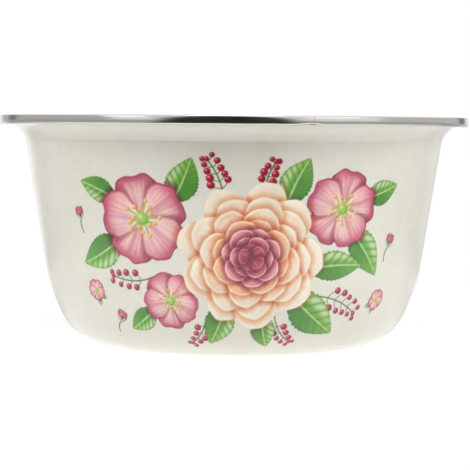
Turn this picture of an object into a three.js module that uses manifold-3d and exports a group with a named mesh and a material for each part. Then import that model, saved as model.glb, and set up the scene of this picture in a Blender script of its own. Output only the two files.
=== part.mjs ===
// An enamelled steel bowl with a folded stainless rim band and a printed flower transfer on two sides.
// Millimetres, +Z up. The origin is the centre of the ring that the bowl stands on, and the front faces -Y.

import * as THREE from "three";
import { mergeVertices } from "three/addons/utils/BufferGeometryUtils.js";
import Module from "manifold-3d";

// Overall form, on the outside of the enamel
const RIM_DIAMETER = 220; // across the outside of the rim band
const HEIGHT = 107; // standing ring to the top of the rim band
const STANDING_DIAMETER = 114; // outer edge of the flat ring that the bowl stands on
const BASE_CORNER_RADIUS = 26.5; // tight turn from the base up into the wall
const BASE_CORNER_SWEEP = 64; // degrees that the tight turn takes
const LOWER_WALL_RADIUS = 90; // slow turn from there to the straight wall
const BRIM_RADIUS = 9.9; // turn from the wall out to the level brim
const BRIM_FLAT = 1.5; // level width at the edge of the brim
const STANDING_RING_WIDTH = 8;
const BASE_PANEL_RISE = 1; // of the panel pressed up inside the standing ring
const BASE_PANEL_STEP = 5; // radial width of the slope round the panel

// Layers of the wall
const STEEL_THICKNESS = 0.6;
const GROUND_COAT = 0.1; // dark first enamel, on both sides of the steel
const COVER_COAT = 0.2; // pale second enamel, on both sides
const LAYER_GAP = 0.005; // hairline between two layers

// Rim band, one strip folded over the edge of the brim
const BAND_SHEET = 0.35;
const BAND_HEIGHT = 4.4;
const BAND_TOP_WIDTH = 6; // from the outer face to the upper lip's end
const BAND_LIP_WIDTH = 3.6; // from the outer face to the lower lip's end
const BAND_LOWER_CORNER = 1.15; // radius between the lower lip and the outer face
const BAND_UPPER_CORNER = 0.8; // radius between the outer face and the crown
const BAND_CLEARANCE = 0.1; // between the lips and the brim
const BAND_EDGE_CLEARANCE = 0.8; // between the outer face and the edge of the brim
const BAND_SEAM_GAP = 0.3; // where the strip's two ends meet
const BAND_SEAM_TURN = 18; // degrees from the front towards +X

// Printed transfers, seen from the front with x to the right and z up
const PRINT_THICKNESS = 0.06;
const PRINT_GAP = 0.02; // between the print and the enamel under it
const MAIN_FLOWER_RADIUS = 34;
const MAIN_FLOWER_OFFSET = 8; // to the right of the middle of the front
const MAIN_FLOWER_HEIGHT = 46; // above the standing ring

// The bouquet's layout, from the middle of its main flower, in shares of that flower's radius
const FLOWERS = [
  { x: 0, z: 0, radius: 1, petals: 9 },
  { x: -1.4, z: 0.48, radius: 0.63, petals: 5 },
  { x: 1.18, z: 0.62, radius: 0.53, petals: 5 },
  { x: -1.08, z: -0.6, radius: 0.42, petals: 5 },
];
const LEAVES = [
  { x: -1.75, z: 0.2, turn: 205, length: 0.7, width: 0.38 },
  { x: -1, z: 0.7, turn: 65, length: 0.65, width: 0.36 },
  { x: 0.42, z: 0.7, turn: 65, length: 0.65, width: 0.36 },
  { x: 1.32, z: 0.3, turn: -50, length: 0.75, width: 0.38 },
  { x: 0.55, z: -0.5, turn: -35, length: 0.9, width: 0.46 },
  { x: -0.35, z: -0.65, turn: -115, length: 0.6, width: 0.36 },
];
const PETAL_DEPTH = 0.12; // notch between two petals, as a share of the flower's radius

// Fineness of the faceted surfaces
const FACETS = 40; // round the axis
const CORNER_STEPS = 4;
const LOWER_WALL_STEPS = 2;
const BRIM_STEPS = 4;
const BAND_CORNER_STEPS = 2;
const BAND_CROWN_STEPS = 3;
const OUTLINE_STEPS = 8; // along one petal, or one side of a leaf

const wasm = await Module();
wasm.setup();

const point = (radius, height) => new THREE.Vector2(radius, height);
const radians = THREE.MathUtils.degToRad;

// Sections

// Points along an arc, both ends included, with angles in degrees from the +radius direction.
function arc(centre, radius, from, to, steps) {
  return Array.from({ length: steps + 1 }, (_, i) => {
    const angle = radians(from + ((to - from) * i) / steps);
    return point(centre.x + radius * Math.cos(angle), centre.y + radius * Math.sin(angle));
  });
}

// A line moved sideways to its left, with its corners kept sharp.
function moveLeft(line, distance) {
  const normals = line.slice(1).map((end, i) => {
    const along = end.clone().sub(line[i]).normalize();
    return point(-along.y, along.x);
  });
  return line.map((corner, i) => {
    const before = normals[Math.max(i - 1, 0)];
    const after = normals[Math.min(i, normals.length - 1)];
    const bisector = before.clone().add(after);
    return corner.clone().addScaledVector(bisector, (2 * distance) / bisector.lengthSq());
  });
}

// The part of a line that lies outside a radius, where the line's radius grows along it.
function outsideOf(line, radius) {
  const first = line.findIndex((corner) => corner.x > radius);
  const before = line[first - 1];
  const share = (radius - before.x) / (line[first].x - before.x);
  return [before.clone().lerp(line[first], share), ...line.slice(first)];
}

const wallThickness = STEEL_THICKNESS + 2 * (GROUND_COAT + COVER_COAT + 2 * LAYER_GAP);
const rimRadius = RIM_DIAMETER / 2;
const standingRadius = STANDING_DIAMETER / 2;
const ringInner = standingRadius - STANDING_RING_WIDTH;
const brimEdge = rimRadius - BAND_SHEET - BAND_EDGE_CLEARANCE;
const brimUnderside = HEIGHT - BAND_HEIGHT + BAND_SHEET + BAND_CLEARANCE;

// The straight wall touches the lower wall's arc on its right and the brim's arc on its left.
const cornerCentre = point(standingRadius, BASE_CORNER_RADIUS);
const cornerEnd = BASE_CORNER_SWEEP - 90;
const lowerCentre = arc(cornerCentre, BASE_CORNER_RADIUS - LOWER_WALL_RADIUS, cornerEnd, cornerEnd, 1)[0];
const brimCentre = point(brimEdge - BRIM_FLAT, brimUnderside - BRIM_RADIUS);
const betweenCentres = brimCentre.clone().sub(lowerCentre);
const tangentTurn = Math.asin((LOWER_WALL_RADIUS + BRIM_RADIUS) / betweenCentres.length());
const wallNormal = THREE.MathUtils.radToDeg(betweenCentres.angle() + tangentTurn) - 90;

const baseLine = [
  point(0, BASE_PANEL_RISE),
  point(ringInner - BASE_PANEL_STEP, BASE_PANEL_RISE),
  point(ringInner, 0),
];
const wallLine = [
  ...arc(cornerCentre, BASE_CORNER_RADIUS, -90, cornerEnd, CORNER_STEPS),
  ...arc(lowerCentre, LOWER_WALL_RADIUS, cornerEnd, wallNormal, LOWER_WALL_STEPS).slice(1),
];
const brimLine = [
  ...arc(brimCentre, BRIM_RADIUS, wallNormal + 180, 90, BRIM_STEPS),
  point(brimEdge, brimUnderside),
];
const outsideLine = [...baseLine, ...wallLine, ...brimLine];

// Solids

// A solid of revolution about Z. Its section runs anticlockwise from axis to axis, or closes on itself.
function revolve(section) {
  return new THREE.LatheGeometry(section, FACETS).rotateX(Math.PI / 2);
}

// One layer of the wall, between two depths below the outside.
function layer(outerDepth, innerDepth) {
  return revolve([...moveLeft(outsideLine, outerDepth), ...moveLeft(outsideLine, innerDepth).reverse()]);
}

function toSolid(geometry) {
  const bare = new THREE.BufferGeometry().setAttribute("position", geometry.getAttribute("position"));
  bare.setIndex(geometry.index);
  const merged = mergeVertices(bare);
  return new wasm.Manifold(
    new wasm.Mesh({
      numProp: 3,
      vertProperties: merged.attributes.position.array,
      triVerts: new Uint32Array(merged.index.array),
    }),
  );
}

function toGeometry(solid) {
  const mesh = solid.getMesh();
  return new THREE.BufferGeometry()
    .setAttribute("position", new THREE.BufferAttribute(mesh.vertProperties, 3))
    .setIndex(new THREE.BufferAttribute(mesh.triVerts, 1));
}

// The strip's outer face: under the brim, up the outside and over a crown that comes down on the brim.
function bandOuterLine() {
  const lip = outsideOf(moveLeft(brimLine, -BAND_CLEARANCE - BAND_SHEET), rimRadius - BAND_LIP_WIDTH);
  const lowerCentre = point(rimRadius - BAND_LOWER_CORNER, HEIGHT - BAND_HEIGHT + BAND_LOWER_CORNER);
  const upperCentre = point(rimRadius - BAND_UPPER_CORNER, HEIGHT - BAND_UPPER_CORNER);
  const brimTop = moveLeft(brimLine, wallThickness + BAND_CLEARANCE + BAND_SHEET);
  const crownEnd = outsideOf(brimTop, rimRadius - BAND_TOP_WIDTH)[0];
  const across = upperCentre.x - crownEnd.x;
  const drop = HEIGHT - crownEnd.y;
  const crownRadius = (across ** 2 + drop ** 2) / (2 * drop);
  const crownCentre = point(upperCentre.x, HEIGHT - crownRadius);
  const crownTurn = THREE.MathUtils.radToDeg(Math.atan2(crownEnd.y - crownCentre.y, -across));
  return [
    ...lip.filter((corner) => corner.x < lowerCentre.x),
    ...arc(lowerCentre, BAND_LOWER_CORNER, -90, 0, BAND_CORNER_STEPS),
    ...arc(upperCentre, BAND_UPPER_CORNER, 0, 90, BAND_CORNER_STEPS),
    ...arc(crownCentre, crownRadius, 90, crownTurn, BAND_CROWN_STEPS).slice(1),
  ];
}

// The folded strip, parted where its two ends meet.
function rimBand() {
  const outer = bandOuterLine();
  const inner = moveLeft(outer, BAND_SHEET).reverse();
  const ring = revolve([...outer, ...inner, outer[0]]);
  const seam = new THREE.BoxGeometry(BAND_SEAM_GAP, rimRadius, HEIGHT)
    .translate(0, -rimRadius, HEIGHT)
    .rotateZ(radians(BAND_SEAM_TURN));
  return toGeometry(toSolid(ring).subtract(toSolid(seam)));
}

// A place in the bouquet's layout, as a distance right of the front's middle and a height.
function placeInPrint(x, z) {
  return point(MAIN_FLOWER_OFFSET + x * MAIN_FLOWER_RADIUS, MAIN_FLOWER_HEIGHT + z * MAIN_FLOWER_RADIUS);
}

// The outline of an open flower, with one round petal in each equal share of the turn.
function flowerShape({ x, z, radius, petals }) {
  const steps = petals * OUTLINE_STEPS;
  const outline = Array.from({ length: steps }, (_, i) => {
    const turn = (i / steps) * 2 * Math.PI;
    const reach = radius * (1 - PETAL_DEPTH * Math.cos((petals * turn) / 2) ** 4);
    return placeInPrint(x + reach * Math.cos(turn), z + reach * Math.sin(turn));
  });
  return new THREE.Shape(outline);
}

// The outline of a pointed leaf that grows from its root in the direction of its turn.
function leafShape({ x, z, turn, length, width }) {
  const along = point(Math.cos(radians(turn)), Math.sin(radians(turn)));
  const aside = point(-along.y, along.x);
  const place = (forward, left) =>
    placeInPrint(x + forward * along.x + left * aside.x, z + forward * along.y + left * aside.y);
  const root = place(0, 0);
  const tip = place(length, 0);
  const left = place(length / 2, width);
  const right = place(length / 2, -width);
  const shape = new THREE.Shape();
  shape.moveTo(root.x, root.y);
  shape.quadraticCurveTo(right.x, right.y, tip.x, tip.y);
  shape.quadraticCurveTo(left.x, left.y, root.x, root.y);
  return shape;
}

// A thin print on the outside of the wall, cut to the bouquet's outline. It faces -Y.
function transfer() {
  const wall = [...wallLine, brimLine[0]];
  const film = revolve([
    ...moveLeft(wall, -PRINT_GAP - PRINT_THICKNESS),
    ...moveLeft(wall, -PRINT_GAP).reverse(),
    moveLeft(wall, -PRINT_GAP - PRINT_THICKNESS)[0],
  ]);
  const shapes = [...FLOWERS.map(flowerShape), ...LEAVES.map(leafShape)];
  const options = { depth: rimRadius, bevelEnabled: false, curveSegments: OUTLINE_STEPS };
  const cutters = shapes.map((shape) => {
    const prism = new THREE.ExtrudeGeometry(shape, options);
    return toSolid(prism.rotateX(Math.PI / 2));
  });
  const bouquet = cutters.reduce((joined, next) => joined.add(next));
  return toGeometry(toSolid(film).intersect(bouquet));
}

// Materials

const steel = new THREE.MeshStandardMaterial({ color: 0x6f7276, roughness: 0.5, metalness: 1 });
const groundEnamel = new THREE.MeshStandardMaterial({ color: 0x20232b, roughness: 0.35, metalness: 0 });
const creamEnamel = new THREE.MeshStandardMaterial({ color: 0xe9e5d8, roughness: 0.12, metalness: 0 });
const whiteEnamel = new THREE.MeshStandardMaterial({ color: 0xf2f1ec, roughness: 0.12, metalness: 0 });
const stainless = new THREE.MeshStandardMaterial({ color: 0xc9c9c7, roughness: 0.15, metalness: 1 });
const print = new THREE.MeshStandardMaterial({ color: 0xd8909a, roughness: 0.2, metalness: 0 });

// Assembly

const bowl = new THREE.Group();

function addPiece(name, geometry, material) {
  const mesh = new THREE.Mesh(geometry, material);
  mesh.name = name;
  bowl.add(mesh);
  return mesh;
}

const layers = [
  { name: "outer_cover_coat", thickness: COVER_COAT, material: creamEnamel },
  { name: "outer_ground_coat", thickness: GROUND_COAT, material: groundEnamel },
  { name: "steel_shell", thickness: STEEL_THICKNESS, material: steel },
  { name: "inner_ground_coat", thickness: GROUND_COAT, material: groundEnamel },
  { name: "inner_cover_coat", thickness: COVER_COAT, material: whiteEnamel },
];
let depth = 0;
for (const { name, thickness, material } of layers) {
  addPiece(name, layer(depth, depth + thickness), material);
  depth += thickness + LAYER_GAP;
}
addPiece("rim_band", rimBand(), stainless);
addPiece("front_transfer", transfer(), print);
addPiece("back_transfer", transfer(), print).rotation.z = Math.PI;

export default bowl;
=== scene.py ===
"""Dresses the enamel bowl: coats, rim band, painted flower print, studio and camera."""

import math

import bpy
import numpy as np
from mathutils import Matrix


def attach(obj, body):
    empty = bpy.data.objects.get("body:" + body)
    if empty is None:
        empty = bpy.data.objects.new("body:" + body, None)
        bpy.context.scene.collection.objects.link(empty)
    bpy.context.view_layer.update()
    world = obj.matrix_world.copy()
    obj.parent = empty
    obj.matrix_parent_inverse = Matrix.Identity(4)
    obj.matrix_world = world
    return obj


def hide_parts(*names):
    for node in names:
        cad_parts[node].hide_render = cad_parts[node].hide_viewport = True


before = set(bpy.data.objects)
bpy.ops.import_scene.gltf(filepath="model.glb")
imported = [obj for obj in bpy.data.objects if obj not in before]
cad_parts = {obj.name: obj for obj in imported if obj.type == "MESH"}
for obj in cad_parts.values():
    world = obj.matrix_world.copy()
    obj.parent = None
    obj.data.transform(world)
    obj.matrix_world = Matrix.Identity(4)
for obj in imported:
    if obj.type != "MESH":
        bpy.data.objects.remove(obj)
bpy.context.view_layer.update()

MM = 0.001
scene = bpy.context.scene

# Overall form in millimetres, the same as the solids'
RIM_RADIUS = 110
HEIGHT = 107
STANDING_RADIUS = 57
BASE_CORNER_RADIUS = 26.5
BASE_CORNER_SWEEP = 64
LOWER_WALL_RADIUS = 90
BRIM_RADIUS = 9.9
BRIM_FLAT = 1.5
STANDING_RING_WIDTH = 8
BASE_PANEL_RISE = 1
BASE_PANEL_STEP = 5

# What the press leaves under the brim, finer than the solids show
BRIM_CREASE = 6  # degrees that the brim's turn starts past the wall, as a faint edge
PRESS_BEAD = 0.04  # height of the fine ridge just under that edge
PRESS_BEAD_WIDTH = 1.6

# Layers of the wall
STEEL_THICKNESS = 0.6
GROUND_COAT = 0.1
COVER_COAT = 0.2
LAYER_GAP = 0.005

# Rim band
BAND_SHEET = 0.35
BAND_HEIGHT = 4.4
BAND_TOP_WIDTH = 6
BAND_LIP_WIDTH = 3.6
BAND_LOWER_CORNER = 1.15
BAND_UPPER_CORNER = 0.5
BAND_FACE_TURN = 7  # degrees that the outer face leans either way from upright
BAND_CLEARANCE = 0.1
BAND_EDGE_CLEARANCE = 0.8
BAND_SEAM_GAP = 0.12
BAND_SEAM_TURN = 18  # degrees from the front towards +X
BAND_PUCKER = 0.7  # how far the lower lip lifts at the seam
BAND_PUCKER_LEFT = 6  # along the rim, on the side away from +X
BAND_PUCKER_RIGHT = 2.4
BAND_WAVE = 0.12  # hand-rolled unevenness of the lower lip
BAND_WAVES = [(7, 0.6), (17, 0), (31, 2)]  # how many go round the rim, and where each starts
BAND_LOBE = 0.3  # how far the rolling lifts the lip between front, sides and back
BAND_LOBES = 4

# Print
PRINT_LIFT = 0.03  # above the enamel
PRINT_CELL = 0.3
PRINT_LEFT = -86
PRINT_RIGHT = 86
PRINT_BOTTOM = -4
PRINT_TOP = 92
PRINT_LEAST_COVER = 0.01  # cells with less ink are left away
MAIN_FLOWER_RADIUS = 34
MAIN_FLOWER_OFFSET = 8
MAIN_FLOWER_HEIGHT = 46
INK_EDGE = 0.35  # width of the soft edge of every printed shape
PAINTED_LIGHT = 125  # degrees, where the light in the picture comes from
LEAF_FIELDS = 6.5  # between the side veins of a leaf
STAMENS = 15

# Fineness: segments round the axis, steps along a section, and degrees from which an edge is sharp
COAT_SEGMENTS = 336
HIDDEN_SEGMENTS = 96
BAND_SEGMENTS = 320
SEAM_REACH = 8  # degrees either side of the band's seam that have finer segments
SEAM_POINTS = 32
PANEL_STEPS = 12
RING_STEPS = 6
CORNER_STEPS = 28
LOWER_WALL_STEPS = 16
UPPER_WALL_STEPS = 22
PRESS_BEAD_STEPS = 10
BRIM_STEPS = 36
BRIM_FLAT_STEPS = 2
BAND_LOWER_STEPS = 10
BAND_FACE_STEPS = 12
BAND_UPPER_STEPS = 12
BAND_CROWN_STEPS = 14
PRINT_BRIM_STEPS = 3  # of the brim's turn that the print may reach
COAT_SHARP = 40
BAND_SHARP = 50
PRINT_SHARP = 60


# Small helpers

def smooth(low, high, value):
    """A share that eases from 0 at low to 1 at high."""
    share = np.clip((value - low) / (high - low), 0, 1)
    return share * share * (3 - 2 * share)


def bell(value, width):
    """1 at zero, fading away on both sides."""
    return np.exp(-((value / width) ** 2))


def heading_of(turn):
    """A step of one in the direction of a turn in degrees."""
    angle = math.radians(turn)
    return np.array([math.cos(angle), math.sin(angle)])


# Sections

def arc(centre, radius, start, end, steps):
    """Points along an arc, with angles in degrees from the outward direction."""
    turn = np.radians(np.linspace(start, end, steps + 1))
    return centre + radius * np.column_stack([np.cos(turn), np.sin(turn)])


def straight(start, end, steps):
    return np.linspace(start, end, steps + 1)


def move_left(line, distance):
    """A line moved sideways to its left, with its corners kept."""
    along = np.diff(line, axis=0)
    along = along / np.linalg.norm(along, axis=1)[:, None]
    normals = np.column_stack([-along[:, 1], along[:, 0]])
    bisector = np.vstack([normals[:1], normals]) + np.vstack([normals, normals[-1:]])
    return line + bisector * (2 * distance / np.sum(bisector ** 2, axis=1))[:, None]


def outside_of(line, radius):
    """The part of a line beyond a radius, where the line's radius grows along it."""
    first = int(np.argmax(line[:, 0] > radius))
    before, after = line[first - 1], line[first]
    share = (radius - before[0]) / (after[0] - before[0])
    return np.vstack([before + share * (after - before), line[first:]])


WALL_THICKNESS = STEEL_THICKNESS + 2 * (GROUND_COAT + COVER_COAT + 2 * LAYER_GAP)
RING_INNER = STANDING_RADIUS - STANDING_RING_WIDTH
BRIM_EDGE = RIM_RADIUS - BAND_SHEET - BAND_EDGE_CLEARANCE
BRIM_UNDERSIDE = HEIGHT - BAND_HEIGHT + BAND_SHEET + BAND_CLEARANCE
CORNER_CENTRE = np.array([STANDING_RADIUS, BASE_CORNER_RADIUS])
CORNER_END = BASE_CORNER_SWEEP - 90
LOWER_CENTRE = arc(CORNER_CENTRE, BASE_CORNER_RADIUS - LOWER_WALL_RADIUS, CORNER_END, CORNER_END, 1)[0]
BRIM_CENTRE = np.array([BRIM_EDGE - BRIM_FLAT, BRIM_UNDERSIDE - BRIM_RADIUS])
BETWEEN = BRIM_CENTRE - LOWER_CENTRE
TANGENT_TURN = math.asin((LOWER_WALL_RADIUS + BRIM_RADIUS) / math.hypot(*BETWEEN))
WALL_NORMAL = math.degrees(math.atan2(BETWEEN[1], BETWEEN[0]) + TANGENT_TURN) - 90
BAND_SEAM = BAND_SEAM_TURN - 90  # degrees from +X


def base_line():
    """From the axis out to the standing ring, with a soft step round the pressed-up panel."""
    panel_end = RING_INNER - BASE_PANEL_STEP
    panel = straight([0, BASE_PANEL_RISE], [panel_end, BASE_PANEL_RISE], PANEL_STEPS)
    share = np.linspace(0, 1, PANEL_STEPS + 1)[1:]
    slope = np.column_stack([
        panel_end + BASE_PANEL_STEP * share,
        BASE_PANEL_RISE * (1 - smooth(0, 1, share)),
    ])
    ring = straight([RING_INNER, 0], [STANDING_RADIUS, 0], RING_STEPS)
    return np.vstack([panel, slope, ring[1:]])


def wall_line():
    """From the standing ring up to the brim's turn, with the press's fine ridge at its top."""
    corner = arc(CORNER_CENTRE, BASE_CORNER_RADIUS, -90, CORNER_END, CORNER_STEPS)
    lower = arc(LOWER_CENTRE, LOWER_WALL_RADIUS, CORNER_END, WALL_NORMAL, LOWER_WALL_STEPS)
    top = brim_line()[0]
    upward = (top - lower[-1]) / np.linalg.norm(top - lower[-1])
    outward = np.array([upward[1], -upward[0]])
    upper = straight(lower[-1], top - PRESS_BEAD_WIDTH * upward, UPPER_WALL_STEPS)
    bead = straight(upper[-1], top, PRESS_BEAD_STEPS)
    swell = np.sin(np.linspace(0, math.pi, PRESS_BEAD_STEPS + 1)) ** 2
    bead += np.outer(PRESS_BEAD * swell, outward)
    return np.vstack([corner, lower[1:], upper[1:], bead[1:]])


def brim_line():
    """The brim's turn and its level edge, along the underside."""
    turn = arc(BRIM_CENTRE, BRIM_RADIUS, WALL_NORMAL + 180 - BRIM_CREASE, 90, BRIM_STEPS)
    flat = straight([BRIM_CENTRE[0], BRIM_UNDERSIDE], [BRIM_EDGE, BRIM_UNDERSIDE], BRIM_FLAT_STEPS)
    return np.vstack([turn, flat[1:]])


OUTSIDE_LINE = np.vstack([base_line(), wall_line()[1:], brim_line()[1:]])


def band_outer_line():
    """The strip's outer face: under the brim, up the outside and over the crown."""
    lip = outside_of(move_left(brim_line(), -BAND_CLEARANCE - BAND_SHEET), RIM_RADIUS - BAND_LIP_WIDTH)
    lower_centre = np.array([RIM_RADIUS - BAND_LOWER_CORNER, HEIGHT - BAND_HEIGHT + BAND_LOWER_CORNER])
    upper_centre = np.array([RIM_RADIUS - BAND_UPPER_CORNER, HEIGHT - BAND_UPPER_CORNER])
    brim_top = move_left(brim_line(), WALL_THICKNESS + BAND_CLEARANCE + BAND_SHEET)
    crown_end = outside_of(brim_top, RIM_RADIUS - BAND_TOP_WIDTH)[0]
    upper_centre[0] -= BAND_UPPER_CORNER * (1 - math.cos(math.radians(BAND_FACE_TURN)))
    across = upper_centre[0] - crown_end[0]
    drop = HEIGHT - crown_end[1]
    crown_radius = (across ** 2 + drop ** 2) / (2 * drop)
    crown_centre = np.array([upper_centre[0], HEIGHT - crown_radius])
    crown_turn = math.degrees(math.atan2(crown_end[1] - crown_centre[1], -across))
    lower_corner = arc(lower_centre, BAND_LOWER_CORNER, -90, -BAND_FACE_TURN, BAND_LOWER_STEPS)
    upper_corner = arc(upper_centre, BAND_UPPER_CORNER, BAND_FACE_TURN, 90, BAND_UPPER_STEPS)
    face_height = upper_corner[0][1] - lower_corner[-1][1]
    face_radius = face_height / 2 / math.sin(math.radians(BAND_FACE_TURN))
    face_centre = np.array([RIM_RADIUS - face_radius, lower_corner[-1][1] + face_height / 2])
    face = arc(face_centre, face_radius, -BAND_FACE_TURN, BAND_FACE_TURN, BAND_FACE_STEPS)
    lower_corner[:, 0] += face[0][0] - lower_corner[-1][0]
    upper_corner[:, 0] += face[-1][0] - upper_corner[0][0]
    return np.vstack([
        lip[lip[:, 0] < lower_corner[0][0]],
        lower_corner,
        face[1:-1],
        upper_corner,
        arc(crown_centre, crown_radius, 90, crown_turn, BAND_CROWN_STEPS)[1:],
    ])


# Meshes

def distances_along(line):
    """Distance from a line's start at each of its points."""
    steps = np.linalg.norm(np.diff(line, axis=0), axis=1)
    return np.concatenate([[0], np.cumsum(steps)])


def shares_along(line):
    distances = distances_along(line)
    return distances / distances[-1]


def new_object(name, data):
    obj = bpy.data.objects.new(name, data)
    scene.collection.objects.link(obj)
    return obj


def make_object(name, vertices, faces, corners, sharp_angle):
    """An object in metres with smooth shading and a map of places for baking."""
    mesh = bpy.data.meshes.new(name)
    mesh.from_pydata(vertices * MM, [], faces)
    places = mesh.uv_layers.new(name="OFBake")
    places.data.foreach_set("uv", np.asarray(corners, dtype=np.float32).ravel())
    mesh.shade_smooth()
    mesh.set_sharp_from_angle(angle=math.radians(sharp_angle))
    return new_object(name, mesh)


def lathe(name, section, segments):
    """A closed solid turned from a section that starts and ends on the axis."""
    rings = section[1:-1]
    count = len(rings)
    turn = np.arange(segments) * 2 * math.pi / segments
    radius = rings[:, 0][:, None]
    ring_points = np.stack([
        radius * np.cos(turn),
        radius * np.sin(turn),
        np.repeat(rings[:, 1][:, None], segments, axis=1),
    ], axis=-1).reshape(-1, 3)
    poles = np.array([[0, 0, section[0][1]], [0, 0, section[-1][1]]])
    vertices = np.vstack([ring_points, poles])
    start_pole = count * segments
    end_pole = start_pole + 1
    rise = shares_along(section)
    faces = []
    corners = []
    for j in range(segments):
        after = (j + 1) % segments
        left = j / segments
        right = (j + 1) / segments
        faces.append((start_pole, after, j))
        corners += [(left, rise[0]), (right, rise[1]), (left, rise[1])]
        for i in range(count - 1):
            here = i * segments
            above = here + segments
            faces.append((here + j, here + after, above + after, above + j))
            low = rise[i + 1]
            high = rise[i + 2]
            corners += [(left, low), (right, low), (right, high), (left, high)]
        last = (count - 1) * segments
        faces.append((last + j, last + after, end_pole))
        corners += [(left, rise[-2]), (right, rise[-2]), (left, rise[-1])]
    return make_object(name, vertices, faces, corners, COAT_SHARP)


def coat(name, outer_depth, inner_depth, segments):
    """One layer of the wall, between two depths below the outside."""
    outer = move_left(OUTSIDE_LINE, outer_depth)
    inner = move_left(OUTSIDE_LINE, inner_depth)
    return lathe(name, np.vstack([outer, inner[::-1]]), segments)


def lip_lift(turn):
    """How far the band's lower lip is lifted at a turn in degrees: pucker, waves and lobes."""
    angle = math.radians(turn)
    from_seam = math.radians((turn - BAND_SEAM + 180) % 360 - 180) * RIM_RADIUS
    reach = BAND_PUCKER_RIGHT if from_seam > 0 else BAND_PUCKER_LEFT
    pucker = BAND_PUCKER * bell(from_seam, reach)
    waves = [math.sin(count * angle + start) for count, start in BAND_WAVES]
    lobe = BAND_LOBE * (1 - math.cos(BAND_LOBES * angle)) / 2
    return pucker + BAND_WAVE * sum(waves) / len(waves) + lobe


def rim_band(name):
    """The folded strip from one end of its seam round to the other, with an uneven lower lip."""
    outer = band_outer_line()
    section = np.vstack([outer, move_left(outer, BAND_SHEET)[::-1]])
    count = len(section)
    even = np.arange(BAND_SEGMENTS) * 360 / BAND_SEGMENTS
    from_seam = np.abs((even - BAND_SEAM + 180) % 360 - 180)
    regular = (even[from_seam > SEAM_REACH] - BAND_SEAM) % 360
    half_gap = math.degrees(BAND_SEAM_GAP / 2 / RIM_RADIUS)
    fine = np.linspace(half_gap, SEAM_REACH, SEAM_POINTS)
    turns = np.unique((BAND_SEAM + np.concatenate([regular, fine, 360 - fine])).round(5))
    lip_share = np.clip((HEIGHT - BAND_HEIGHT / 2 - section[:, 1]) / (BAND_HEIGHT / 2), 0, 1)
    vertices = []
    for turn in turns:
        x_share, y_share = heading_of(turn)
        vertices.append(np.column_stack([
            section[:, 0] * x_share,
            section[:, 0] * y_share,
            section[:, 1] + lip_lift(turn) * lip_share,
        ]))
    vertices = np.vstack(vertices)
    around = shares_along(np.vstack([section, section[:1]]))
    faces = []
    corners = []
    for j in range(len(turns) - 1):
        left = j / len(turns)
        right = (j + 1) / len(turns)
        here = j * count
        beside = here + count
        for i in range(count):
            following = (i + 1) % count
            faces.append((here + i, beside + i, beside + following, here + following))
            low = around[i]
            high = around[i + 1]
            corners += [(left, low), (right, low), (right, high), (left, high)]
    last = (len(turns) - 1) * count
    end_share = (len(turns) - 0.5) / len(turns)
    for i in range(count // 2 - 1):
        faces.append((i, i + 1, count - 2 - i, count - 1 - i))
        faces.append((last + count - 1 - i, last + count - 2 - i, last + i + 1, last + i))
        corners += [(end_share, around[i])] * 8
    return make_object(name, vertices, faces, corners, BAND_SHARP)


# Painting of the print

def blend(first, second, share):
    """A mix of two colours, with a share for each point."""
    share = share[..., None]
    return first * (1 - share) + second * share


def soft_cover(inside, edge=INK_EDGE):
    """Cover of a shape from the depth inside its outline, with a soft edge."""
    return np.clip(0.5 + inside / edge, 0, 1)


def ink(red, green, blue):
    """A printed colour from its display values."""
    return np.array([red, green, blue]) / 255


CREAM = ink(253, 243, 226)
PALE_PEACH = ink(252, 226, 198)
PEACH = ink(249, 208, 170)
APRICOT = ink(240, 168, 112)
RUST = ink(206, 112, 70)
BLUSH = ink(243, 190, 186)
ROSE = ink(212, 102, 128)
DEEP_ROSE = ink(165, 48, 82)
WINE = ink(112, 20, 50)
CRIMSON = ink(186, 30, 58)
SHELL = ink(254, 234, 230)
GOLD = ink(240, 196, 92)
LIME = ink(172, 208, 92)
FRESH_GREEN = ink(106, 172, 58)
DARK_GREEN = ink(36, 106, 42)
PALE_GREEN = ink(230, 240, 204)
LEAF_SHADOW = ink(70, 90, 50)
STALK = ink(108, 124, 60)
PALE_FOLD = ink(234, 170, 124)
WARM_FOLD = ink(224, 142, 94)
ROSY_FOLD = ink(170, 66, 92)


class Canvas:
    """A grid of printed colours and cover, with u to the right and v up in millimetres."""

    def __init__(self, u, v):
        self.u, self.v = np.meshgrid(u, v)
        self.colour = np.ones(self.u.shape + (3,))
        self.cover = np.zeros(self.u.shape)

    def window(self, place, reach):
        columns = np.searchsorted(self.u[0], [place[0] - reach, place[0] + reach])
        rows = np.searchsorted(self.v[:, 0], [place[1] - reach, place[1] + reach])
        return slice(*rows), slice(*columns)

    def local(self, window, place, turn):
        """Distances forward and to the left of a place, facing a turn in degrees."""
        du = self.u[window] - place[0]
        dv = self.v[window] - place[1]
        ahead = heading_of(turn)
        forward = du * ahead[0] + dv * ahead[1]
        aside = dv * ahead[0] - du * ahead[1]
        return forward, aside

    def lay(self, window, colour, cover):
        """Lays a colour over what is there."""
        total = cover + self.cover[window] * (1 - cover)
        share = cover / np.maximum(total, 1e-6)
        self.colour[window] = blend(self.colour[window], colour, share)
        self.cover[window] = total

    def shade(self, window, depth, tint):
        """Darkens what is there towards a tint."""
        self.colour[window] *= 1 - depth[..., None] * (1 - tint)


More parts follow.
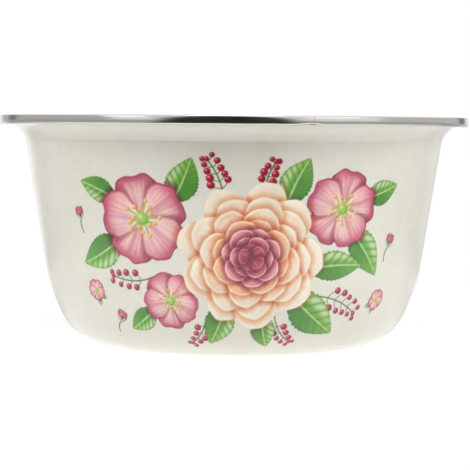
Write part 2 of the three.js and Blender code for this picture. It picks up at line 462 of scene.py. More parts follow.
def petal(canvas, place, turn, length, width, look, phase):
    """One petal that grows from a place, with soft shadow, folds, veins and a lighter edge."""
    window = canvas.window(place, length * 1.2 + 2)
    forward, aside = canvas.local(window, place, turn)
    belly = look["belly"]
    share = forward / length
    lengthwise = np.where(share > belly, (share - belly) / (1 - belly), (share - belly) / belly)
    neck = 1 - look["neck"] * smooth(belly, 0, share)
    sidewise = aside / (width / 2) / neck
    notch = look["notch"] * bell(sidewise, 0.28) * smooth(0.2, 1, lengthwise)
    bearing = np.arctan2(sidewise, lengthwise)
    ruffle = look["ruffle"] * (np.sin(5 * bearing + phase) + 0.6 * np.sin(9 * bearing + 2.3 * phase))
    reach = np.hypot(lengthwise, sidewise) * (1 + ruffle) + notch
    size = min(width / 2, length * (1 - belly))
    cover = soft_cover((1 - reach) * size)
    falloff = 1 - smooth(1, 1 + look["shadow_width"] / size, reach)
    canvas.shade(window, look["shadow"] * falloff * smooth(0, 0.2, share), look["shadow_tint"])

    share = np.clip(share, 0, 1)
    colour = blend(look["base"], look["middle"], smooth(0.05, look["spread"], share))
    colour = blend(colour, look["tip"], smooth(look["spread"], 1, share))
    side = np.clip(sidewise, -1, 1)
    spoke = aside / np.maximum(forward + 0.25 * length, 0.2 * length)
    vein = np.sin(spoke * 46 + 1.5 * np.sin(spoke * 13 + phase)) * smooth(0.95, 0.35, reach)
    colour = colour * (1 + look["vein"] * vein)[..., None]
    hollow = bell(reach - 0.78, 0.13) * smooth(0.3, 0.7, share)
    colour = blend(colour, look["fold"], 0.5 * hollow * (0.6 + 0.4 * np.sin(phase + 2 * bearing)))
    crease = bell(side - 0.12 * math.sin(phase), 0.16) * smooth(1, 0.3, share)
    colour = blend(colour, look["fold"], 0.35 * crease)
    streak = bell(side - 0.35 * math.cos(phase), 0.26) * np.sin(math.pi * share) ** 2
    colour = blend(colour, look["glow"], look["sheen"] * streak)
    rim = smooth(0.84, 0.95, reach)
    colour = blend(colour, look["edge"], 0.75 * rim * smooth(0.2, 0.6, share))
    colour = blend(colour, look["line"], look["outline"] * smooth(0.95, 0.99, reach))
    light = 1 + look["light"] * side * math.cos(math.radians(turn + 90 - PAINTED_LIGHT))
    canvas.lay(window, np.clip(colour * light[..., None], 0, 1), cover)


def petal_look(base, middle, tip, edge, fold, **changes):
    """A petal's colours and habits. The changes always give its line, glow and shadow."""
    look = {
        "base": base, "middle": middle, "tip": tip, "edge": edge, "fold": fold,
        "belly": 0.62, "neck": 0.35, "notch": 0.0, "ruffle": 0.018, "vein": 0.03,
        "spread": 0.55, "light": 0.07, "shadow": 0.7, "sheen": 0.3, "outline": 0.4,
    }
    look.update(changes)
    return look


def full_flower(canvas, place, radius):
    """A many-petalled flower whose rings run from cream outside to a rosy heart."""
    random = np.random.default_rng(11)
    # Petals, their length and width in shares of the radius, base, middle, tip, edge, fold, shadow
    rings = [
        (9, 1.00, 0.60, APRICOT, PALE_PEACH, CREAM, CREAM, PALE_PEACH, PALE_FOLD),
        (9, 0.84, 0.54, RUST, PALE_PEACH, CREAM, CREAM, PEACH, PALE_FOLD),
        (8, 0.68, 0.48, RUST, PEACH, CREAM, CREAM, APRICOT, WARM_FOLD),
        (8, 0.53, 0.40, RUST, APRICOT, PEACH, CREAM, APRICOT, WARM_FOLD),
        (7, 0.40, 0.33, DEEP_ROSE, ROSE, BLUSH, SHELL, ROSE, ROSY_FOLD),
        (6, 0.28, 0.26, WINE, ROSE, BLUSH, SHELL, DEEP_ROSE, ROSY_FOLD),
        (5, 0.18, 0.19, WINE, DEEP_ROSE, ROSE, BLUSH, DEEP_ROSE, ROSY_FOLD),
    ]
    for number, (count, reach, width, base, middle, tip, edge, fold, tint) in enumerate(rings):
        look = petal_look(
            base, middle, tip, edge, fold,
            shadow_width=0.09 * radius, shadow_tint=tint, line=fold, glow=edge,
        )
        order = list(range(0, count, 2)) + list(range(1, count, 2))
        for i in order:
            turn = 360 * (i + 0.5 * (number % 2)) / count + random.uniform(-5, 5) + 17 * number
            length = radius * reach * random.uniform(0.93, 1.0)
            breadth = radius * width * random.uniform(0.92, 1.1)
            petal(canvas, place, turn, length, breadth, look, random.uniform(0, 6))


def open_blossom(canvas, place, radius, turn, seed):
    """A five-petalled blossom with a pale throat, dark edge folds and golden stamens."""
    random = np.random.default_rng(seed)
    look = petal_look(
        SHELL, BLUSH, ROSE, DEEP_ROSE, DEEP_ROSE,
        belly=0.6, neck=0.5, notch=0.16, ruffle=0.03, vein=0.06, spread=0.5, sheen=0.4, glow=SHELL,
        shadow=0.6, shadow_width=0.13 * radius, shadow_tint=ROSY_FOLD, line=WINE, outline=0.25,
    )
    order = (0, 2, 4, 1, 3)
    for i in order:
        petal_turn = turn + 360 / len(order) * i
        length = radius * random.uniform(0.94, 1.0)
        petal(canvas, place, petal_turn, length, radius * 1.02, look, random.uniform(0, 6))
    for i in range(STAMENS):
        reach = radius * (0.2 + 0.09 * (i % 3))
        end = place + reach * heading_of(turn + 360 / STAMENS * i)
        stem(canvas, place, end, 0, 0.035 * radius, LIME)
        berry(canvas, end, 0.05 * radius, GOLD, RUST)
    berry(canvas, place, 0.13 * radius, LIME, FRESH_GREEN)


def leaf(canvas, place, turn, length, width, bend):
    """A pointed leaf with a toothed edge, a pale midrib and puffed fields between its veins."""
    window = canvas.window(place + length / 2 * heading_of(turn), length * 0.75)
    forward, aside = canvas.local(window, place, turn)
    share = np.clip(forward / length, 0, 1)
    aside = aside - bend * length * share * (1 - share)
    pitch = length / LEAF_FIELDS
    teeth = ((forward - 0.8 * np.abs(aside)) / pitch * 2) % 1
    half = width / 2 * np.sin(math.pi * share ** 0.85) ** 0.9 * (0.94 + 0.09 * (1 - teeth))
    beyond = np.maximum(np.maximum(forward - length, -forward), 0)
    inside = half - np.abs(aside) - beyond
    canvas.shade(window, 0.35 * (1 - smooth(0, 1.2, -inside)), LEAF_SHADOW)

    across = np.clip(aside / np.maximum(half, 0.1), -1, 1)
    field = ((forward - 0.9 * np.abs(aside)) / pitch) % 1
    puff = np.sin(math.pi * field) ** 0.8
    upper = smooth(-0.15, 0.15, aside)
    colour = blend(DARK_GREEN, FRESH_GREEN, 0.35 + 0.3 * puff + 0.35 * upper)
    colour = blend(colour, LIME, 0.5 * smooth(0.35, 1, share) * (0.4 + 0.6 * puff))
    outer = smooth(0.2, 0.65, np.abs(across)) * smooth(1, 0.8, np.abs(across))
    colour = blend(colour, PALE_GREEN, (0.25 + 0.5 * puff) * upper * outer * smooth(0.95, 0.6, share))
    side_vein = bell(np.minimum(field, 1 - field) * pitch, 0.22)
    colour = blend(colour, LIME, 0.45 * side_vein * (1 - upper))
    colour = blend(colour, DARK_GREEN, 0.3 * side_vein * upper)
    midrib = bell(aside, 0.16 + 0.35 * (1 - share))
    colour = blend(colour, PALE_GREEN, 0.85 * midrib)
    colour = blend(colour, DARK_GREEN, 0.45 * smooth(0.8, 1, np.abs(across)) * (1 - upper))
    canvas.lay(window, colour, soft_cover(inside))


def stem(canvas, start, end, bend, width, colour):
    """A thin curved stalk between two places, bowed to its left."""
    along = end - start
    span = float(np.hypot(*along))
    turn = math.degrees(math.atan2(along[1], along[0]))
    window = canvas.window((start + end) / 2, span * 0.75 + 1)
    forward, aside = canvas.local(window, start, turn)
    share = np.clip(forward / span, 0, 1)
    aside = aside - bend * span * 4 * share * (1 - share)
    beyond = np.maximum(np.maximum(forward - span, -forward), 0)
    inside = width / 2 - np.hypot(aside, beyond)
    tone = blend(colour, colour * 0.7, smooth(0, width / 2, -aside))
    canvas.lay(window, tone, soft_cover(inside, min(INK_EDGE, width)))


def berry(canvas, place, radius, colour, dark):
    """A round berry, bud or anther with a dark lower edge and a small highlight."""
    window = canvas.window(place, radius * 2 + 1)
    forward, aside = canvas.local(window, place, 0)
    distance = np.hypot(forward, aside)
    low = np.clip((forward - aside) / radius * 0.5 + 0.35, 0, 1)
    tone = blend(colour, dark, smooth(0.3, 1, distance / radius) * low)
    shine = bell(np.hypot(forward + 0.35 * radius, aside - 0.35 * radius), 0.3 * radius)
    cover = soft_cover(radius - distance, min(INK_EDGE, radius))
    canvas.lay(window, blend(tone, np.ones(3), 0.65 * shine), cover)


def berry_spray(canvas, start, turn, length, bend, pairs, seed):
    """A curved stalk with pairs of small crimson berries, smaller towards its end."""
    random = np.random.default_rng(seed)
    heading = heading_of(turn)
    left = np.array([-heading[1], heading[0]])
    stem(canvas, start, start + heading * length, bend, 0.7, STALK)
    for i in range(pairs):
        share = 0.3 + 0.65 * i / (pairs - 1)
        root = start + heading * length * share + left * bend * length * 4 * share * (1 - share)
        for side in (1, -1):
            arm = length * (0.2 - 0.1 * share) * random.uniform(0.85, 1.15)
            tip = root + heading * arm * 0.8 + left * side * arm
            stem(canvas, root, tip, 0.1 * side, 0.45, STALK)
            berry(canvas, tip, (1.95 - 0.7 * share) * random.uniform(0.9, 1.1), CRIMSON, WINE)
    berry(canvas, start + heading * length, 1.2, CRIMSON, WINE)


def bud(canvas, place, turn, length):
    """A closed pink bud on a short stalk, held by two green sepals."""
    heading = heading_of(turn)
    stem(canvas, place - heading * length * 1.1, place, 0.12, 0.7, STALK)
    look = petal_look(
        DEEP_ROSE, ROSE, ROSE, BLUSH, WINE,
        belly=0.5, neck=0.1, vein=0.06, line=WINE, glow=SHELL,
        shadow=0.5, shadow_width=1, shadow_tint=ROSY_FOLD,
    )
    for lean in (-18, 18, 0):
        petal(canvas, place, turn + lean, length, length * 0.55, look, lean)
    for lean in (-32, 32):
        leaf(canvas, place - heading * length * 0.1, turn + lean, length * 0.6, length * 0.24, 0)


def small_sprig(canvas, place, turn, size, seed):
    """A loose sprig: one small blossom with two leaves, or a bud, by its number."""
    if seed % 3 == 2:
        bud(canvas, place, turn, size * 1.3)
        return
    root = place - heading_of(turn) * size * 0.2
    leaf(canvas, root, turn + 150, size * 1.3, size * 0.6, 0.1)
    leaf(canvas, root, turn + 215, size * 1.2, size * 0.55, -0.1)
    open_blossom(canvas, place, size, turn, seed)


def in_print(x, z):
    """A place in the layout, from shares of the main flower's radius to millimetres."""
    return np.array([MAIN_FLOWER_OFFSET, MAIN_FLOWER_HEIGHT]) + MAIN_FLOWER_RADIUS * np.array([x, z])


# The bouquet, with places and lengths in shares of the main flower's radius
# x, z, turn, length, bend, pairs, number
BERRY_SPRAYS = [
    (-0.35, 0.70, 110, 0.60, -0.08, 5, 21),
    (0.15, 0.80, 75, 0.45, 0.08, 4, 22),
    (0.85, -0.52, -20, 0.80, 0.08, 5, 26),
    (0.35, -0.80, -55, 0.50, -0.10, 4, 24),
    (-0.60, -0.80, -120, 0.50, 0.10, 4, 27),
    (-1.30, -0.28, 180, 0.62, 0.10, 4, 25),
]
# x, z, turn, length, width, bend
LEAVES = [
    (-1.72, 0.22, 207, 0.80, 0.44, 0.15),
    (-1.00, 0.68, 66, 0.66, 0.42, -0.12),
    (0.42, 0.68, 66, 0.66, 0.42, 0.12),
    (1.30, 0.35, -48, 0.85, 0.44, 0.15),
    (0.50, -0.45, -38, 1.02, 0.54, -0.15),
    (-0.32, -0.60, -112, 0.70, 0.42, 0.12),
    (-1.75, 0.72, 158, 0.62, 0.34, -0.12),
    (0.75, -0.16, 2, 0.82, 0.40, 0.12),
    (0.15, -0.75, -76, 0.58, 0.36, -0.10),
    (-1.33, -0.72, 215, 0.55, 0.32, 0.10),
    (1.52, 0.75, 18, 0.58, 0.34, -0.10),
]
# x, z, radius, turn, number
BLOSSOMS = [
    (-1.40, 0.48, 0.63, 100, 3),
    (1.18, 0.62, 0.53, 80, 4),
    (-1.08, -0.60, 0.42, 120, 5),
]
# x, z, turn, size, number
SPRIGS = [
    (-2.28, -0.50, 120, 0.16, 6),
    (-1.95, -0.92, 60, 0.14, 8),
    (-2.40, 0.45, 100, 0.13, 5),
    (2.05, 0.10, 75, 0.14, 11),
    (2.00, -0.62, 50, 0.16, 7),
]


def paint_bouquet():
    """The whole print, from the sprays at the back to the flower in front."""
    u = np.arange(PRINT_LEFT, PRINT_RIGHT + PRINT_CELL / 2, PRINT_CELL)
    v = np.arange(PRINT_BOTTOM, PRINT_TOP + PRINT_CELL / 2, PRINT_CELL)
    canvas = Canvas(u, v)
    unit = MAIN_FLOWER_RADIUS
    for x, z, turn, length, bend, pairs, seed in BERRY_SPRAYS:
        berry_spray(canvas, in_print(x, z), turn, length * unit, bend, pairs, seed)
    for x, z, turn, length, width, bend in LEAVES:
        leaf(canvas, in_print(x, z), turn, length * unit, width * unit, bend)
    for x, z, radius, turn, seed in BLOSSOMS:
        open_blossom(canvas, in_print(x, z), radius * unit, turn, seed)
    full_flower(canvas, in_print(0, 0), unit)
    for x, z, turn, size, seed in SPRIGS:
        small_sprig(canvas, in_print(x, z), turn, size * unit, seed)
    return canvas


def to_linear(shown):
    """Linear light from display values between 0 and 1."""
    return np.where(shown <= 0.04045, shown / 12.92, ((shown + 0.055) / 1.055) ** 2.4)


def print_film(name, canvas, turned):
    """The painted grid laid on the outside of the wall, with its bare cells left away."""
    wall = move_left(np.vstack([wall_line(), brim_line()[1:PRINT_BRIM_STEPS + 1]]), -PRINT_LIFT)
    along = distances_along(wall)
    along = along + MAIN_FLOWER_HEIGHT - np.interp(MAIN_FLOWER_HEIGHT, wall[:, 1], along)
    radius = np.interp(canvas.v, along, wall[:, 0])
    height = np.interp(canvas.v, along, wall[:, 1])
    mean_radius = np.interp(MAIN_FLOWER_HEIGHT, wall[:, 1], wall[:, 0])
    turn = canvas.u / mean_radius - math.pi / 2 + math.radians(turned)
    points = np.stack([radius * np.cos(turn), radius * np.sin(turn), height], axis=-1).reshape(-1, 3)

    rows, columns = canvas.u.shape
    number = np.arange(rows * columns).reshape(rows, columns)
    cell = [number[:-1, :-1], number[:-1, 1:], number[1:, 1:], number[1:, :-1]]
    quads = np.stack(cell, axis=-1).reshape(-1, 4)
    cover = canvas.cover.ravel()
    quads = quads[cover[quads].max(axis=1) > PRINT_LEAST_COVER]
    used = np.unique(quads)
    renumber = np.zeros(rows * columns, dtype=int)
    renumber[used] = np.arange(len(used))
    quads = renumber[quads]
    across = (canvas.u.ravel()[used] - PRINT_LEFT) / (PRINT_RIGHT - PRINT_LEFT)
    upward = (canvas.v.ravel()[used] - PRINT_BOTTOM) / (PRINT_TOP - PRINT_BOTTOM)
    corners = np.stack([across[quads], upward[quads]], axis=-1).reshape(-1, 2)
    obj = make_object(name, points[used], quads.tolist(), corners, PRINT_SHARP)

    colours = to_linear(canvas.colour.reshape(-1, 3)[used])
    values = np.column_stack([colours, cover[used]]).astype(np.float32)
    attribute = obj.data.color_attributes.new("Print", "FLOAT_COLOR", "POINT")
    attribute.data.foreach_set("color", values.ravel())
    return obj


# Materials

def new_material(name):
    material = bpy.data.materials.new(name)
    material.use_nodes = True
    return material, material.node_tree


def add(tree, kind, inputs=None, **settings):
    """A node with its settings, and each input set to a value or linked to a socket."""
    node = tree.nodes.new(kind)
    for key, value in settings.items():
        setattr(node, key, value)
    for key, value in (inputs or {}).items():
        if isinstance(value, bpy.types.NodeSocket):
            tree.links.new(value, node.inputs[key])
        else:
            node.inputs[key].default_value = value
    return node


def object_places(tree):
    return add(tree, "ShaderNodeTexCoord").outputs["Object"]


def split_places(tree, places):
    """The x, y and z of a place."""
    return add(tree, "ShaderNodeSeparateXYZ", {0: places}).outputs


def length_of(tree, places):
    return add(tree, "ShaderNodeVectorMath", {0: places}, operation="LENGTH").outputs["Value"]


def noise(tree, places, scale, detail, roughness=0.5):
    inputs = {"Vector": places, "Scale": scale, "Detail": detail, "Roughness": roughness}
    return add(tree, "ShaderNodeTexNoise", inputs).outputs["Fac"]


def bump(tree, strength, distance, height):
    inputs = {"Strength": strength, "Distance": distance, "Height": height}
    return add(tree, "ShaderNodeBump", inputs).outputs[0]


def mix_colours(tree, share, first, second):
    node = add(tree, "ShaderNodeMix", {0: share, 6: first, 7: second}, data_type="RGBA")
    return node.outputs[2]


def mix_values(tree, share, first, second):
    return add(tree, "ShaderNodeMix", {0: share, 2: first, 3: second}).outputs[0]


def ramp(tree, value, low, high):
    """A share that eases from 0 at low to 1 at high."""
    inputs = {0: value, 1: low, 2: high}
    return add(tree, "ShaderNodeMapRange", inputs, interpolation_type="SMOOTHSTEP").outputs[0]


def ramp_turn(tree, turn, low, high):
    """The same for a turn, with its two ends in degrees."""
    return ramp(tree, turn, math.radians(low), math.radians(high))


def rescale(tree, value, low, high, start=0.0, end=1.0):
    """A value between start and end brought evenly between low and high."""
    inputs = {0: value, 1: start, 2: end, 3: low, 4: high}
    return add(tree, "ShaderNodeMapRange", inputs).outputs[0]


def calculate(tree, operation, first, second=0.0):
    return add(tree, "ShaderNodeMath", {0: first, 1: second}, operation=operation).outputs[0]


def times(tree, first, second):
    return calculate(tree, "MULTIPLY", first, second)


def plus(tree, first, second):
    return calculate(tree, "ADD", first, second)


def connect(tree, colour, roughness, normal, metallic=0.0, coat_weight=0.0):
    """Sets a material's shader."""
    shader = tree.nodes["Principled BSDF"]
    tree.links.new(colour, shader.inputs["Base Color"])
    tree.links.new(roughness, shader.inputs["Roughness"])
    tree.links.new(normal, shader.inputs["Normal"])
    shader.inputs["Metallic"].default_value = metallic
    shader.inputs["Coat Weight"].default_value = coat_weight
    shader.inputs["Coat Roughness"].default_value = 0.05


def linear_colour(red, green, blue):
    return [*to_linear(ink(red, green, blue)).tolist(), 1]


CREAM_ENAMEL = linear_colour(238, 235, 223)
CREAM_WARM = linear_colour(234, 231, 217)
WHITE_ENAMEL = linear_colour(240, 238, 232)
WHITE_WARM = linear_colour(233, 230, 221)
ENAMEL_GLAZE = 0.4  # weight of the clear coat over enamel
ENAMEL_MOTTLE = (0.5, 0.47, 0.4, 1)
PINHOLE = (0.12, 0.1, 0.08, 1)
SCUFFED_FOOT = (0.2, 0.19, 0.18, 1)
FOOT_WEAR_TOP = 0.7 * MM  # height above the table where wear starts
FOOT_WEAR_FULL = 0.1 * MM
GROUND_DARK = linear_colour(22, 24, 32)
GROUND_LIGHT = linear_colour(44, 46, 56)
STEEL_LIGHT = (0.2, 0.2, 0.21, 1)
STEEL_DARK = (0.13, 0.13, 0.14, 1)
STAINLESS_LIGHT = (0.72, 0.705, 0.675, 1)
STAINLESS_DARK = (0.6, 0.585, 0.56, 1)
STREAKS_PER_RADIAN = 4  # round the bowl
STREAKS_PER_METRE = 4000  # across them


def enamel_surface(tree, colour, warm):
    """Colour, roughness and normal of glossy enamel: clouds, pinholes, orange peel and a worn foot."""
    places = object_places(tree)
    clouds = noise(tree, places, 22, 5, roughness=0.6)
    fine = noise(tree, places, 240, 3)
    shade = mix_colours(tree, ramp(tree, clouds, 0.35, 0.7), colour, warm)
    mottled = mix_colours(tree, 0.92, ENAMEL_MOTTLE, shade)
    shade = mix_colours(tree, ramp(tree, fine, 0.35, 0.75), shade, mottled)

    specks = add(tree, "ShaderNodeTexVoronoi", {"Vector": places, "Scale": 95, "Randomness": 1})
    chance = add(tree, "ShaderNodeSeparateColor", {0: specks.outputs["Color"]}).outputs[0]
    middle = ramp(tree, specks.outputs["Distance"], 0.035, 0.02)
    pinhole = times(tree, middle, ramp(tree, chance, 0.93, 0.94))
    shade = mix_colours(tree, times(tree, pinhole, 0.55), shade, PINHOLE)

    foot = ramp(tree, split_places(tree, places)[2], FOOT_WEAR_TOP, FOOT_WEAR_FULL)
    scuffs = noise(tree, places, 420, 6, roughness=0.7)
    worn = times(tree, foot, ramp(tree, scuffs, 0.48, 0.7))
    shade = mix_colours(tree, times(tree, worn, 0.3), shade, SCUFFED_FOOT)

    peel = noise(tree, places, 420, 2)
    waves = noise(tree, places, 38, 2)
    normal = bump(tree, 0.12, 0.2 * MM, plus(tree, times(tree, waves, 6), peel))
    roughness = plus(tree, rescale(tree, scuffs, 0.1, 0.2), times(tree, worn, 0.35))
    return shade, roughness, normal


def enamel_material(name, colour, warm):
    material, tree = new_material(name)
    connect(tree, *enamel_surface(tree, colour, warm), coat_weight=ENAMEL_GLAZE)
    return material


def print_material(name):
    """Fired colours over the same cream enamel, a little mottled."""
    material, tree = new_material(name)
    shade, roughness, normal = enamel_surface(tree, CREAM_ENAMEL, CREAM_WARM)
    painted = add(tree, "ShaderNodeVertexColor", layer_name="Print").outputs
    mottle = rescale(tree, noise(tree, object_places(tree), 900, 3), 0.9, 1.1)
    inputs = {0: painted["Color"], "Scale": mottle}
    inked = add(tree, "ShaderNodeVectorMath", inputs, operation="SCALE").outputs[0]
    colour = mix_colours(tree, painted["Alpha"], shade, inked)
    connect(tree, colour, roughness, normal, coat_weight=ENAMEL_GLAZE)
    return material


def ground_material(name):
    """Dark blue-black first coat with fine bubbles."""
    material, tree = new_material(name)
    places = object_places(tree)
    clouds = noise(tree, places, 60, 6)
    colour = mix_colours(tree, clouds, GROUND_DARK, GROUND_LIGHT)
    bubbles = add(tree, "ShaderNodeTexVoronoi", {"Vector": places, "Scale": 700}).outputs["Distance"]
    normal = bump(tree, 0.2, 0.1 * MM, bubbles)
    connect(tree, colour, rescale(tree, clouds, 0.25, 0.45), normal)
    return material


def streaked_metal(name, light, dark, smoothest, roughest, relief):
    """Metal with fine streaks that run round the bowl."""
    material, tree = new_material(name)
    places = object_places(tree)
    x, y, z = split_places(tree, places)
    round_the_bowl = add(tree, "ShaderNodeCombineXYZ", {
        0: times(tree, calculate(tree, "ARCTAN2", y, x), STREAKS_PER_RADIAN),
        1: times(tree, z, STREAKS_PER_METRE),
        2: times(tree, length_of(tree, places), STREAKS_PER_METRE),
    }).outputs[0]
    streaks = noise(tree, round_the_bowl, 1, 4)
    smears = noise(tree, places, 130, 4)
    colour = mix_colours(tree, ramp(tree, streaks, 0.3, 0.7), dark, light)
    both = plus(tree, times(tree, smears, 0.6), streaks)
    roughness = rescale(tree, both, smoothest, roughest, start=0.4, end=1.2)
    connect(tree, colour, roughness, bump(tree, relief, 0.05 * MM, streaks), metallic=1.0)
    return material


# Pieces

def dress(piece, node, material):
    piece.data.materials.append(material)
    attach(piece, "root")
    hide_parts(node)


cream = enamel_material("cream enamel", CREAM_ENAMEL, CREAM_WARM)
white = enamel_material("white enamel", WHITE_ENAMEL, WHITE_WARM)
ground = ground_material("ground enamel")
sheet_steel = streaked_metal(
    "sheet steel", STEEL_LIGHT, STEEL_DARK, smoothest=0.35, roughest=0.55, relief=0.3,
)
stainless = streaked_metal(
    "stainless", STAINLESS_LIGHT, STAINLESS_DARK, smoothest=0.1, roughest=0.22, relief=0.04,
)
flowers = print_material("flower print")

# From the outside in: piece, node, thickness, slot, material, segments
LAYERS = [
    ("outer_enamel", "outer_cover_coat", COVER_COAT, "cream_enamel", cream, COAT_SEGMENTS),
    ("outer_ground", "outer_ground_coat", GROUND_COAT, "ground_enamel", ground, HIDDEN_SEGMENTS),
    ("steel_bowl", "steel_shell", STEEL_THICKNESS, "shell_steel", sheet_steel, HIDDEN_SEGMENTS),
    ("inner_ground", "inner_ground_coat", GROUND_COAT, "ground_enamel", ground, HIDDEN_SEGMENTS),
    ("inner_enamel", "inner_cover_coat", COVER_COAT, "white_enamel", white, COAT_SEGMENTS),
]
depth = 0
for piece_name, node, thickness, slot, material, segments in LAYERS:
    dress(coat(piece_name, depth, depth + thickness, segments), node, material)
    depth += thickness + LAYER_GAP
dress(rim_band("rim_strip"), "rim_band", stainless)
bouquet = paint_bouquet()
dress(print_film("front_print", bouquet, 0), "front_transfer", flowers)
dress(print_film("back_print", bouquet, 180), "back_transfer", flowers)


# Studio, in metres and in degrees from the front

FLOOR_HALF = 4
FLOOR_DROP = 0.0001  # keeps the floor out of the standing ring's plane
FLOOR_ALBEDO = 0.45
ROOM_ALBEDO = 0.02  # of the floor beyond the table, as glossy surfaces show it
SHADOW_INNER = 0.2  # radius where the shadow that the camera sees starts to fade
SHADOW_OUTER = 0.45
SHADOW_GLOW = 0.85  # of the floor within that radius, as the camera sees it
SHADOW_ALBEDO = 0.3
TABLE_INNER = 0.2  # radius where the table's glow starts to fade
TABLE_OUTER = 0.34
TABLE_GLOW = 0.66
NEAR_GLOW = 0.5  # within a hand of the bowl
NEAR_INNER = 0.11
NEAR_OUTER = 0.16
FOOT_GLOW = 0.66  # the table close to the foot
FOOT_INNER = 0.066
FOOT_OUTER = 0.08
TABLE_SHINE = 0.76  # its front half as glossy surfaces show it
TABLE_BACK_SHINE = 0.5
FRONT_HALF = (115, 85)  # the turns from the back half to the front half
STRAIGHT_BACK = (22, 8)  # from the rim's side edges backward, where the table turns white
FAR_BACK = (0.12, 0.3)  # how far behind the bowl's middle it does so
ROOM_GLOW = 0.45  # of the floor beyond the table, as glossy surfaces show it
WHITE_LEFT = (-130, -155)  # turns over which the room whitens behind the bowl
WHITE_RIGHT_STEP = (125, 145)
WHITE_RIGHT_SHARE = 0.4  # how far that step goes
WHITE_RIGHT_END = (158, 170)
DARK_GLOW = 0.01
DARK_FROM = -39  # sides of the dark room behind the camera
DARK_TO = 32
DARK_CORE = 0.72  # share of that spread that is fully dark
DARK_SPRING = 0.25  # height where its sides start to close in
DARK_LEAN = 40  # degrees that each side closes in for each metre above that
DARK_RIM_GLOW = 0.9  # of the front card where the dark has faded
SKY_GLOW = 0.12
CARD_POINTS = 25  # along the bottom of a card
FAR_CARD = 2.2
NEAR_CARD = 2.1
# Name, first and last turn, bottom, top, glow, distance
CARDS = [
    ("front_card", DARK_FROM, DARK_TO, 0.0, 1.6, 0.02, FAR_CARD),
    ("left_card", -152, -58, 0.0, 0.8, 0.55, FAR_CARD),
    ("right_card", 72, 152, 0.0, 0.8, 0.66, FAR_CARD),
    ("left_gap", -138, -128, 0.0, 0.8, 0.22, NEAR_CARD),
    ("right_gap", 138, 149, 0.0, 0.8, 0.22, NEAR_CARD),
    ("left_softbox", -66, -39, 0.1, 1.1, 1.0, FAR_CARD),
    ("right_softbox", 33, 76, 0.0, 1.1, 1.0, FAR_CARD),
    ("left_strip", -64, -42, 0.42, 0.62, 1.9, NEAR_CARD),
    ("right_strip", 36, 62, 0.42, 0.62, 1.7, NEAR_CARD),
]
FADING_CARD = "front_card"  # its ends fade with the dark room
LAMP_SIZE = 1.0
LAMP_AIM = (0, 0, 0.05)
# Name, place, power, and whether glossy surfaces show it
LAMPS = [
    ("front_top", (0, -0.95, 1.3), 9.7, True),
    ("left_top", (-1.42, -0.48, 0.95), 10.9, False),
    ("right_top", (1.42, -0.48, 0.95), 12.5, False),
]


def plain_object(name, vertices, faces, material):
    mesh = bpy.data.meshes.new(name)
    mesh.from_pydata(vertices, [], faces)
    mesh.materials.append(material)
    obj = new_object(name, mesh)
    return obj


def turn_from_front(tree, places):
    x, y, _ = split_places(tree, places)
    return calculate(tree, "ARCTAN2", x, times(tree, y, -1))


def dark_room(tree, places):
    """How far a place lies in the dark sector behind the camera."""
    middle = math.radians((DARK_FROM + DARK_TO) / 2)
    spread = math.radians((DARK_TO - DARK_FROM) / 2)
    turn = calculate(tree, "SUBTRACT", turn_from_front(tree, places), middle)
    height = split_places(tree, places)[2]
    above = calculate(tree, "MAXIMUM", calculate(tree, "SUBTRACT", height, DARK_SPRING), 0)
    lean = times(tree, above, math.radians(DARK_LEAN))
    aside = plus(tree, calculate(tree, "ABSOLUTE", turn), lean)
    return ramp(tree, aside, spread, spread * DARK_CORE)


def room_shine(tree, places):
    """The floor beyond the table as glossy surfaces show it, white behind the bowl."""
    turn = turn_from_front(tree, places)
    left = ramp_turn(tree, turn, *WHITE_LEFT)
    step = times(tree, ramp_turn(tree, turn, *WHITE_RIGHT_STEP), WHITE_RIGHT_SHARE)
    end = times(tree, ramp_turn(tree, turn, *WHITE_RIGHT_END), 1 - WHITE_RIGHT_SHARE)
    behind = calculate(tree, "MAXIMUM", left, plus(tree, step, end))
    return mix_values(tree, behind, ROOM_GLOW, 1)


def table_shine(tree, places):
    """The table as glossy surfaces show it: bright in front, dim at the back, white straight behind."""
    turn = calculate(tree, "ABSOLUTE", turn_from_front(tree, places))
    shine = mix_values(tree, ramp_turn(tree, turn, *FRONT_HALF), TABLE_BACK_SHINE, TABLE_SHINE)
    x, y, _ = split_places(tree, places)
    aside = calculate(tree, "SUBTRACT", calculate(tree, "ABSOLUTE", x), RIM_RADIUS * MM)
    past_the_edge = calculate(tree, "ARCTAN2", aside, y)
    straight_back = ramp_turn(tree, past_the_edge, *STRAIGHT_BACK)
    return mix_values(tree, times(tree, straight_back, ramp(tree, y, *FAR_BACK)), shine, 1)


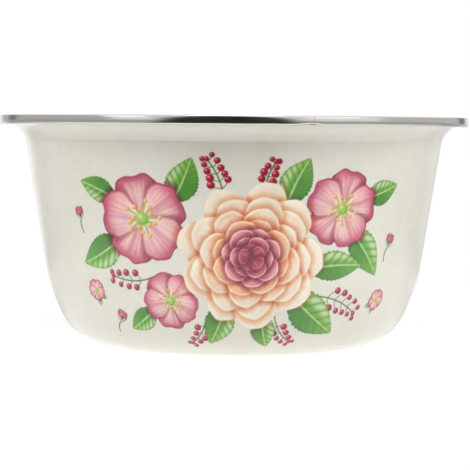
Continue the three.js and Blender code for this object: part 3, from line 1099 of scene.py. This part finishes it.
def floor_material():
    """A white floor with the bowl's shadow, and to all but the camera a light table in a dim room."""
    material, tree = new_material("floor")
    path = add(tree, "ShaderNodeLightPath").outputs
    to_camera = path["Is Camera Ray"]
    reflected = path["Is Glossy Ray"]
    places = object_places(tree)
    distance = length_of(tree, places)
    near = ramp(tree, distance, SHADOW_OUTER, SHADOW_INNER)
    on_table = ramp(tree, distance, TABLE_OUTER, TABLE_INNER)

    room = mix_values(tree, reflected, TABLE_GLOW, room_shine(tree, places))
    room = mix_values(tree, dark_room(tree, places), room, DARK_GLOW)
    table = mix_values(tree, ramp(tree, distance, NEAR_OUTER, NEAR_INNER), TABLE_GLOW, NEAR_GLOW)
    table = mix_values(tree, ramp(tree, distance, FOOT_OUTER, FOOT_INNER), table, FOOT_GLOW)
    table = mix_values(tree, reflected, table, table_shine(tree, places))
    glow = mix_values(tree, on_table, room, table)
    glow = mix_values(tree, to_camera, glow, mix_values(tree, near, 1, SHADOW_GLOW))
    shown_albedo = mix_values(tree, on_table, ROOM_ALBEDO, FLOOR_ALBEDO)
    albedo = mix_values(tree, reflected, FLOOR_ALBEDO, shown_albedo)
    albedo = mix_values(tree, to_camera, albedo, mix_values(tree, near, 0, SHADOW_ALBEDO))

    shader = tree.nodes["Principled BSDF"]
    tree.links.new(albedo, shader.inputs["Base Color"])
    tree.links.new(glow, shader.inputs["Emission Strength"])
    shader.inputs["Emission Color"].default_value = (1, 1, 1, 1)
    shader.inputs["Roughness"].default_value = 0.9
    shader.inputs["Specular IOR Level"].default_value = 0
    return material


def card_material(name, value):
    """An even card, or a dark one that fades to light at its two ends."""
    material, tree = new_material(name)
    tree.nodes.remove(tree.nodes["Principled BSDF"])
    glow = add(tree, "ShaderNodeEmission", {"Color": (1, 1, 1, 1), "Strength": value})
    if name == FADING_CARD:
        faded = mix_values(tree, dark_room(tree, object_places(tree)), DARK_RIM_GLOW, value)
        tree.links.new(faded, glow.inputs["Strength"])
    tree.links.new(glow.outputs[0], tree.nodes["Material Output"].inputs[0])
    return material


def studio_card(name, start, end, bottom, top, value, distance):
    """A curved card that only reflections show, between two turns."""
    turns = np.radians(np.linspace(start, end, CARD_POINTS) - 90)
    low = [(distance * math.cos(t), distance * math.sin(t), bottom) for t in turns]
    high = [(x, y, top) for x, y, _ in low]
    count = len(turns)
    faces = [(i, i + 1, count + i + 1, count + i) for i in range(count - 1)]
    card = plain_object(name, low + high, faces, card_material(name, value))
    card.visible_camera = False
    card.visible_diffuse = False
    card.visible_shadow = False
    card.visible_transmission = False


def soft_light(name, place, power, in_reflections):
    """A round lamp that shines on the bowl."""
    lamp = bpy.data.lights.new(name, "AREA")
    lamp.shape = "DISK"
    lamp.size = LAMP_SIZE
    lamp.energy = power
    obj = new_object(name, lamp)
    obj.location = place
    x, y, z = np.subtract(LAMP_AIM, place)
    obj.rotation_euler = (math.atan2(math.hypot(x, y), -z), 0, math.atan2(-x, y))
    obj.visible_glossy = in_reflections


floor_corners = [
    (x * FLOOR_HALF, y * FLOOR_HALF, -FLOOR_DROP)
    for x, y in ((-1, -1), (1, -1), (1, 1), (-1, 1))
]
plain_object("floor", floor_corners, [(0, 1, 2, 3)], floor_material())
for card in CARDS:
    studio_card(*card)
for lamp in LAMPS:
    soft_light(*lamp)

world = bpy.data.worlds.new("studio")
scene.world = world
world.use_nodes = True
sky = world.node_tree
path = add(sky, "ShaderNodeLightPath").outputs
seen = calculate(sky, "MAXIMUM", path["Is Camera Ray"], path["Is Glossy Ray"])
seen = calculate(sky, "MAXIMUM", seen, path["Is Transmission Ray"])
backdrop = sky.nodes["Background"]
backdrop.inputs["Color"].default_value = (1, 1, 1, 1)
sky.links.new(rescale(sky, seen, SKY_GLOW, 1.0), backdrop.inputs["Strength"])

# Camera, with its place in metres and its turns in degrees
CAMERA_PLACE = (0, -0.98965, 0.10204)
CAMERA_PITCH = 2.953
CAMERA_YAW = -0.049
CAMERA_ROLL = 0.41
CAMERA_LENS = 160.5
CAMERA_SENSOR = 36

camera = bpy.data.cameras.new("camera")
camera.sensor_width = CAMERA_SENSOR
camera.lens = CAMERA_LENS
camera_object = new_object("camera", camera)
camera_object.matrix_world = (
    Matrix.Translation(CAMERA_PLACE)
    @ Matrix.Rotation(math.radians(CAMERA_YAW), 4, "Z")
    @ Matrix.Rotation(math.radians(90 - CAMERA_PITCH), 4, "X")
    @ Matrix.Rotation(math.radians(CAMERA_ROLL), 4, "Z")
)
scene.camera = camera_object
scene.view_settings.view_transform = "Standard"
